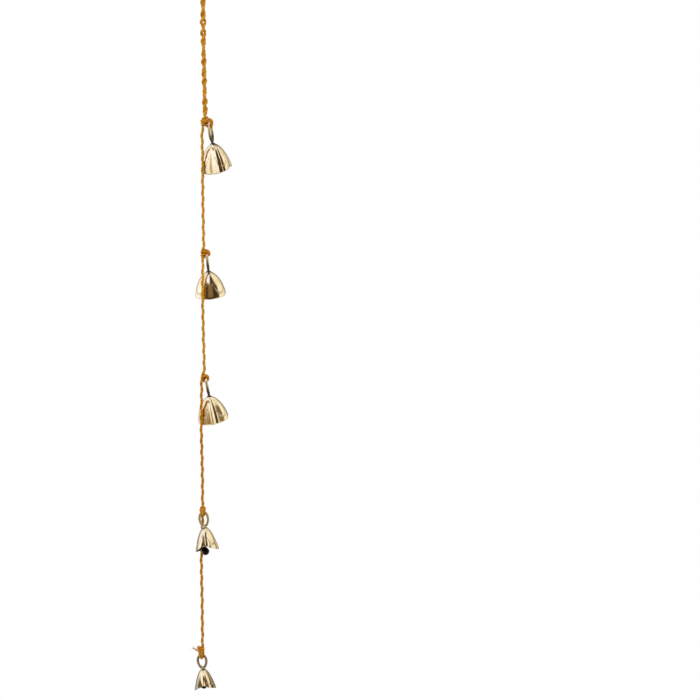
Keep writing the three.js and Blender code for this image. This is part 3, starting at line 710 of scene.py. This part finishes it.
def makeHanger(n):
    size = bells[n]["size"]
    f = fitting
    s = ringSettings
    bm = bmesh.new()
    halfHeight = (size["ringHeight"] - size["foot"]) / 2
    middle = size["foot"] + halfHeight
    halfWidth = size["ringWidth"] / 2
    outer = eggLoop(bm, halfWidth, halfHeight, middle, size["ringTaper"], 0)
    inner = eggLoop(bm, halfWidth - size["ringBar"], halfHeight - size["ringBar"], middle, size["ringTaper"],
                    size["footRise"])
    bmesh.ops.bridge_loops(bm, edges=outer + inner)
    flat = bmesh.ops.extrude_face_region(bm, geom=bm.faces[:])
    raised = [item for item in flat["geom"] if isinstance(item, bmesh.types.BMVert)]
    bmesh.ops.translate(bm, verts=raised, vec=(size["ringThick"], 0, 0))
    bmesh.ops.translate(bm, verts=bm.verts[:], vec=(-size["ringThick"] / 2, 0, 0))
    bmesh.ops.recalc_face_normals(bm, faces=bm.faces[:])
    corners = [edge for edge in bm.edges if edge.calc_face_angle(0) > s["corner"]]
    bmesh.ops.bevel(bm, geom=corners, offset=s["edge"], segments=s["edgeSteps"], profile=0.5, affect="EDGES",
                    material=-1)
    darkeningOf = bm.verts.layers.float.new("darkening")
    for vert in bm.verts:
        vert.co += noise.noise_vector(vert.co * s["castGrain"] + Vector((s["castShift"] * n, 0, 0))) * s["cast"]
        # painted shade: darker from the lit top down to the foot
        low = min(max((s["shadeTop"] - vert.co.z / size["ringHeight"]) / s["shadeFade"], 0), 1)
        vert[darkeningOf] = ringDarkening[n][0] * (1 - low) + ringDarkening[n][1] * low
    stemFoot = f["eye"] - size["eyeDepth"]
    rim = seatHeight(size, f["collar"])
    neck = size["neck"]
    profile = [(0, stemFoot), (f["stem"], stemFoot)]
    profile += [(radius, seatHeight(size, radius)) for radius in (f["stem"], f["seat"])]
    profile += [(f["collar"] + out, rim + up) for out, up in s["collarEdge"]]
    profile += [(neck + out, up) for out, up in s["neckEdge"]] + [(0, s["neckTop"])]
    stemStart = len(bm.verts)
    stem = [bm.verts.new((0, radius, height)) for radius, height in profile]
    # the stem and neck take the foot's painted shade
    for vert in stem:
        vert[darkeningOf] = ringDarkening[n][1]
    lines = [bm.edges.new(pair) for pair in zip(stem, stem[1:])]
    bmesh.ops.spin(bm, geom=stem + lines, cent=(0, 0, 0), axis=(0, 0, 1), angle=2 * math.pi, steps=s["stemSteps"],
                   use_merge=True)
    bm.verts.ensure_lookup_table()
    for vert in bm.verts[stemStart:]:
        above = min(max(vert.co.z - rim - s["collarTop"], 0), 1)
        vert.co.x *= 1 - (1 - s["flat"] * size["ringThick"] / neck) * above  # as flat as the ring
    ringFaces = len(bm.faces)
    section = bmesh.ops.create_circle(bm, segments=s["eyePoints"], radius=f["eyeBar"],
                                      matrix=Matrix.Translation((0, f["eye"], -size["eyeDepth"])))
    edges = list({edge for vert in section["verts"] for edge in vert.link_edges})
    bmesh.ops.spin(bm, geom=section["verts"] + edges, cent=(0, 0, -size["eyeDepth"]), axis=(1, 0, 0),
                   angle=2 * math.pi, steps=s["eyeSteps"], use_merge=True)
    bm.faces.ensure_lookup_table()
    # the eye takes the painted-shade brass
    for face in bm.faces[ringFaces:]:
        face.material_index = 1
    bmesh.ops.remove_doubles(bm, verts=bm.verts[:], dist=s["weld"])
    bmesh.ops.recalc_face_normals(bm, faces=bm.faces[:])
    bm.transform(toMetres @ crownFrame(n))
    finishPiece(f"bell_{n + 1}_ring_brass", bm, [brass["ringBrass"], brass["shadedBrass"]], f"bell_{n + 1}",
                [f"bell_{n + 1}_hanger"])


clapperSettings = {"bends": 11, "start": -0.96, "turn": 5.03, "shankTop": 4.7, "sunk": 2, "step": 0.4, "round": 3,
                   "across": 36, "down": 24, "lumps": 0.12, "lumpGrain": 0.55, "lumpShift": 3.1, "socket": 1.6,
                   "socketDepth": 0.35}


def makeClapper(n):
    size = bells[n]["size"]
    f = fitting
    s = clapperSettings
    eyeToWire = f["eye"] - (f["eyeBar"] + f["wire"] + f["gap"])
    hook = crownFrame(n) @ Vector((0, 0, -size["eyeDepth"] - eyeToWire))
    hung = Matrix.Translation(hook) @ Matrix.Rotation(math.radians(bells[n]["turn"]), 4, "Z")
    ballMiddle = size["eyeDepth"] + eyeToWire - size["clapperDrop"]
    radius = size["ball"] / 2
    points = []
    for step in range(s["bends"] + 1):
        angle = s["start"] + step / s["bends"] * s["turn"]
        points.append((f["wireLoop"] * math.cos(angle), 0, f["wireLoop"] * (math.sin(angle) - 1)))
    points += [(0, 0, -s["shankTop"]), (0, 0, ballMiddle + radius + f["wire"]),
               (0, 0, ballMiddle + radius - s["sunk"])]
    bm = bmesh.new()
    addStrands(bm, [[hung @ point for point in smoothLine(points, s["step"])]], f["wire"], s["round"], 0)
    finishPiece(f"bell_{n + 1}_clapper_wire_iron", bm, [iron["ironWire"]], f"clapper_{n + 1}",
                [f"bell_{n + 1}_clapper_wire"])
    bm = bmesh.new()
    bmesh.ops.create_uvsphere(bm, u_segments=s["across"], v_segments=s["down"], radius=radius)
    for vert in bm.verts:
        swell = noise.noise(vert.co * s["lumpGrain"] + Vector((s["lumpShift"] * n, 1, 2)))
        vert.co *= 1 + s["lumps"] / radius * swell
        near = math.hypot(vert.co.x, vert.co.y)
        if vert.co.z > 0 and near < s["socket"]:
            vert.co.z -= s["socketDepth"] * (1 - near / s["socket"])  # the socket that takes the wire
    bm.transform(toMetres @ hung @ Matrix.Translation((0, 0, ballMiddle)))
    finishPiece(f"bell_{n + 1}_clapper_ball_iron", bm, [iron["blackIron"]], f"clapper_{n + 1}",
                [f"bell_{n + 1}_clapper_ball"])


for n in range(len(bells)):
    makeShell(n)
    makeHanger(n)
    makeClapper(n)
    print("bell", n + 1, "made")


# knots: turns about the standing cord, then round the top of the bell's ring and back
knotSettings = {"thick": 0.9, "step": 0.45, "barTurn": -1.0, "uneven": 0.5, "grain": 0.45, "slope": 0.45,
                "degrees": 40, "bulge": 1.12, "narrowing": 0.24, "tuck": (0.7, 1.1, -0.8), "phase": 0.8, "fuzz": 1.6}
highTie = [(-3.2, -0.5, 7.8), (-0.8, -0.2, 8.7), (1.2, 0, 7.6), (2.2, 0.1, 5.0), (2.1, 0, 2.0), (1.0, 0, 0.3),
           (-0.6, 0, 0.2), (-2.4, 0.2, 1.7)]
sideTie = [(-1.7, -0.5, 5.2), (0, -0.1, 5.0), (1.5, 0.1, 4.4), (2.1, 0.1, 2.7), (1.9, 0, 0.9), (0.8, 0, 0.15),
           (-0.6, 0, 0.1), (-2.1, 0.3, 0.6)]
frontTie = [(-2.65, 0, 3.9), (-2.6, 0, 1.8), (-1.6, 0, 0.25), (0, 0, 0), (1.6, 0, 0.25), (2.6, 0, 1.8),
            (2.65, 0, 3.8), (1.4, 0, 5.2)]
knotShapes = [
    {"middle": (1.7, -0.2, 6.3), "from": 60, "through": 1500, "across": 2.5, "deep": 1.9, "rise": 3.5, "taper": 0.1,
     "tie": highTie, "loops": (22, -12)},
    {"middle": (0.4, -0.6, 1.4), "from": 60, "through": 1300, "across": 1.25, "deep": 1.7, "rise": 4.0,
     "taper": -0.15, "tie": sideTie, "loops": (34, -2)},
    {"middle": (0.5, 0, 4.2), "from": 60, "through": 600, "across": 1.7, "deep": 1.8, "rise": 1.3, "taper": 0.2,
     "tie": sideTie, "loops": (14, -10)},
    {"middle": (-0.5, 0.5, 6.1), "from": 90, "through": 640, "across": 1.7, "deep": 1.7, "rise": 2.2, "taper": 0.5,
     "tie": frontTie, "loops": (8, -8)},
    {"middle": (-2.0, 0, 7.4), "from": 90, "through": 900, "across": 2.0, "deep": 1.8, "rise": 1.8, "taper": 0.0,
     "tie": frontTie, "loops": (11, -11)},
]


# turns that bulge in the middle, as a drawn knot does, and may taper upwards
def wrapPoints(middle, shape):
    s = knotSettings
    count = round(shape["through"] / s["degrees"])
    points = []
    for i in range(count + 1):
        t = 2 * i / count - 1
        angle = math.radians(shape["from"] + shape["through"] * i / count)
        bulge = s["bulge"] - s["narrowing"] * t * t - shape["taper"] * t
        place = Vector((bulge * shape["across"] * math.cos(angle), bulge * shape["deep"] * math.sin(angle),
                        shape["rise"] * t + s["slope"] * math.cos(angle + 2 * t)))
        points.append(middle + place + noise.noise_vector((middle + place) * s["grain"]) * s["uneven"])
    return points


def makeKnot(n):
    shape = knotShapes[n]
    s = knotSettings
    middle = Vector(shape["middle"]) + Vector((0, 0, bellHeights[n]))
    barTurn = Vector((0, 0, s["barTurn"]))
    tie = []
    for turn in shape["loops"]:
        along = Matrix.Rotation(math.radians(turn), 3, "X")  # along the ring's bar
        tie += [barTurn + along @ (Vector(point) - barTurn) for point in shape["tie"]]
    tuckX, tuckY, tuckRise = s["tuck"]
    tuck = middle + Vector((tuckX, tuckY, tuckRise * shape["rise"]))
    points = wrapPoints(middle, shape) + [strandFrame(n) @ point for point in tie] + [tuck]
    bm = bmesh.new()
    layYarn(bm, smoothLine(points, s["step"]), s["phase"] * n, s["thick"], s["fuzz"])
    return bm


loopKnotShape = {"middle": (0, 0, -46.6), "from": 90, "through": 720, "across": 2.8, "deep": 1.9, "rise": 2.0,
                 "taper": 0.0, "phase": 0.5, "strandFuzz": 0.5,
                 "strand": [(1.5, 0, -41.4), (1.2, 0, -44), (1.15, 0.1, -48), (0.9, 0, -50)]}


def makeLoopKnot():
    shape = loopKnotShape
    s = knotSettings
    bm = bmesh.new()
    turns = wrapPoints(Vector(shape["middle"]), shape)
    layYarn(bm, smoothLine(turns, s["step"]), shape["phase"], s["thick"], s["fuzz"])
    for side in (-1, 1):
        strand = [(x * side, y * side, z) for x, y, z in shape["strand"]]
        layYarn(bm, smoothLine(strand, s["step"]), side, fuzz=shape["strandFuzz"])
    return bm


tailSettings = {"heart": (-2.2, 0, 8.4), "root": (-1.5, 0, -1), "step": 0.6, "tufts": 46, "tuftThick": 0.3,
                "tuftLong": 4.6, "tuftWay": (-0.75, 0, 0.28), "tuftSpread": (0.75, 0.6, 0.5),
                "tuftBend": (0.3, 0.3, 0.3), "tuftAlong": (0.1, 0.3, 0.5, 0.7, 0.85, 1.0),
                "tuftLengths": (0.6, 1.0), "tuftWidths": (0.7, 1.3), "wisps": 9, "wispThick": 0.2,
                "wispSpread": 0.5, "wispDrift": (0.3, 0.5, 0.5), "wispLengths": (0.7, 1.0),
                "wispWidths": (0.7, 1.2), "goldEvery": 3, "spread": 1.1, "hairs": 40, "hairReach": 1.8}


# the cut end: a tuft of opened yarn over the knot and a thin wisp beyond it
def makeTail():
    s = tailSettings
    bm = bmesh.new()
    heart = Vector(s["heart"]) + Vector((0, 0, bellHeights[4]))
    for _ in range(s["tufts"]):
        out = randomVector(s["tuftSpread"], s["tuftWay"]).normalized()
        bend = randomVector(s["tuftBend"])
        long = s["tuftLong"] * chance.uniform(*s["tuftLengths"])
        tuft = [heart + (out + bend * t) * long * t for t in s["tuftAlong"]]
        thick = s["tuftThick"] * chance.uniform(*s["tuftWidths"])
        addStrands(bm, [tuft], thick, 1, plySlot, lambda t: 1.1 - 0.6 * t)
    middle = smoothLine([heart + Vector(s["root"])] + tailRun, s["step"])
    for i in range(s["wisps"]):
        kept = middle[: round(len(middle) * chance.uniform(*s["wispLengths"]))]
        out = Vector((0, chance.gauss(0, s["wispSpread"]), chance.gauss(0, s["wispSpread"])))
        drift = randomVector(s["wispDrift"])
        wisp = []
        for j, point in enumerate(kept):
            t = j / (len(kept) - 1)
            wisp.append(point + out * s["spread"] * (0.5 + t) + drift * s["spread"] * t * t)
        thick = s["wispThick"] * chance.uniform(*s["wispWidths"])
        slot = fibreSlot if i % s["goldEvery"] else goldSlot
        addStrands(bm, [wisp], thick, 1, slot, lambda t: 1.0 - 0.5 * t)
    addFuzz(bm, middle, 1.0, s["hairs"], s["hairReach"])
    return bm


# the knots take the painted-shade yarn
knotPieces = [finishYarn(f"bell_{n + 1}_knot", makeKnot(n), shadedYarnSlots) for n in range(len(bells))]
loopKnotPiece = finishYarn("hanging_loop_knot", makeLoopKnot(), yarnSlots)
tailPiece = finishYarn("cord_tail", makeTail(), yarnSlots)
print("knots tied:", len(knotPieces) + 1)


# each cord's line, put in metres
def inMetres(line):
    return [point * mm for point in line]


for k, (name, piece) in enumerate(cordPieces.items()):
    line = inMetres(cordLines[name])
line = inMetres(loopLine)


# floor, light and the room that the brass mirrors
roomSettings = {"floorHeight": -0.98, "floorRadius": 0.6, "floorPoints": 96, "floorColour": (0.86, 0.86, 0.85),
                "floorRough": 0.8, "ceiling": (0.9, 0.89, 0.86)}


def makeFloor():
    s = roomSettings
    bm = bmesh.new()
    bmesh.ops.create_circle(bm, cap_ends=True, segments=s["floorPoints"], radius=s["floorRadius"],
                            matrix=Matrix.Translation((0, 0, s["floorHeight"])))
    bmesh.ops.recalc_face_normals(bm, faces=bm.faces[:])
    mesh = bpy.data.meshes.new("floor")
    bm.to_mesh(mesh)
    bm.free()
    material, tree, shader = newMaterial("paleFloor")
    shader.inputs["Base Color"].default_value = (*s["floorColour"], 1)
    shader.inputs["Roughness"].default_value = s["floorRough"]
    mesh.materials.append(material)
    floor = bpy.data.objects.new("floor", mesh)
    floor.visible_glossy = False
    scene.collection.objects.link(floor)


lampSettings = [
    {"name": "keyLamp", "place": (-1.1, -1.5, 0.7), "aim": (0, 0, -0.4), "size": 1.0, "power": 22},
    {"name": "fillLamp", "place": (1.5, -0.9, 0.1), "aim": (0, 0, -0.4), "size": 1.2, "power": 13},
]


def makeLamps():
    for s in lampSettings:
        lamp = bpy.data.lights.new(s["name"], "AREA")
        lamp.shape = "DISK"
        lamp.size = s["size"]
        lamp.energy = s["power"]
        holder = bpy.data.objects.new(s["name"], lamp)
        holder.location = s["place"]
        holder.rotation_euler = (Vector(s["aim"]) - Vector(s["place"])).to_track_quat("-Z", "Y").to_euler()
        holder.visible_glossy = False
        scene.collection.objects.link(holder)


# bands round the room by degrees to the right of the viewer's side: level with the string, above it and below it
lowBands = [(-180, (0.16, 0.14, 0.11)), (-158, (0.30, 0.27, 0.22)), (-140, (0.95, 0.94, 0.94)),
            (-100, (1.28, 1.31, 1.46)), (-60, (1.24, 1.25, 1.36)), (-54, (0.90, 0.72, 0.46)),
            (-47, (0.42, 0.26, 0.10)), (-40, (0.09, 0.055, 0.025)), (-20, (0.06, 0.04, 0.02)),
            (-8, (0.28, 0.175, 0.09)), (11, (0.28, 0.175, 0.09)), (24, (0.05, 0.033, 0.018)),
            (46, (0.05, 0.033, 0.018)), (57, (0.22, 0.13, 0.05)), (62, (0.62, 0.45, 0.22)), (69, (1.22, 1.19, 1.12)),
            (110, (1.12, 1.05, 0.92)), (140, (0.76, 0.69, 0.54)), (158, (0.30, 0.26, 0.2)), (180, (0.16, 0.14, 0.11))]
highBands = [(-180, (0.14, 0.12, 0.1)), (-158, (0.4, 0.37, 0.32)), (-140, (0.95, 0.95, 0.98)),
             (-66, (1.24, 1.28, 1.44)), (-60, (0.70, 0.50, 0.26)), (-54, (0.34, 0.20, 0.09)),
             (-42, (0.12, 0.07, 0.03)), (-36, (1.25, 1.32, 1.6)), (-6, (1.25, 1.32, 1.6)), (0, (0.05, 0.033, 0.018)),
             (44, (0.08, 0.05, 0.025)), (50, (0.50, 0.34, 0.15)), (57, (1.22, 1.19, 1.12)), (110, (1.1, 1.04, 0.93)),
             (140, (0.8, 0.75, 0.64)), (158, (0.36, 0.32, 0.26)), (180, (0.14, 0.12, 0.1))]
underBands = [(-180, (0.20, 0.17, 0.13)), (-140, (0.85, 0.82, 0.78)), (-60, (1.18, 1.18, 1.24)),
              (-54, (0.90, 0.72, 0.46)), (-47, (0.40, 0.25, 0.10)), (-38, (0.08, 0.05, 0.025)),
              (45, (0.045, 0.03, 0.016)), (57, (0.22, 0.13, 0.05)), (62, (0.60, 0.44, 0.22)), (69, (1.12, 1.08, 1.0)),
              (130, (0.80, 0.74, 0.62)), (180, (0.20, 0.17, 0.13))]
roomLevels = [(underBands, -0.12, 0.02), (lowBands, 0.58, 0.70), (highBands, 0.93, 0.99)]  # where the next begins


def makeRoom():
    world = bpy.data.worlds.new("room")
    scene.world = world
    world.use_nodes = True
    tree = world.node_tree
    back = tree.nodes["Background"]
    coords = addNode(tree, "ShaderNodeTexCoord")
    parts = addNode(tree, "ShaderNodeSeparateXYZ")
    flip = addNode(tree, "ShaderNodeMath", {"operation": "MULTIPLY"}, {1: -1.0})
    turn = addNode(tree, "ShaderNodeMath", {"operation": "ARCTAN2"})
    around = addNode(tree, "ShaderNodeMapRange", values={"From Min": -math.pi, "From Max": math.pi})
    join(tree, (coords, "Generated", parts, "Vector"), (parts, "Y", flip, 0), (parts, "X", turn, 0),
         (flip, 0, turn, 1), (turn, 0, around, "Value"))
    shown = None
    for bands, low, high in roomLevels:
        ramp = addRamp(tree, [((degrees + 180) / 360, colour) for degrees, colour in bands])
        step = addNode(tree, "ShaderNodeMapRange", {"interpolation_type": "SMOOTHSTEP"},
                       {"From Min": low, "From Max": high})
        rise = addMix(tree, second=roomSettings["ceiling"])
        join(tree, (around, "Result", ramp, "Fac"), (parts, "Z", step, "Value"), (step, "Result", rise, "Factor"))
        if shown:
            join(tree, (ramp, "Color", shown, "B"), (shown, "Result", rise, "A"))
        else:
            join(tree, (ramp, "Color", rise, "A"))
        shown = rise
    path = addNode(tree, "ShaderNodeLightPath")
    seen = addMix(tree, second=(1, 1, 1))
    join(tree, (path, "Is Camera Ray", seen, "Factor"), (shown, "Result", seen, "A"),
         (seen, "Result", back, "Color"))
    back.inputs["Strength"].default_value = 1.0


makeFloor()
makeLamps()
makeRoom()
print("floor, lamps and room set")
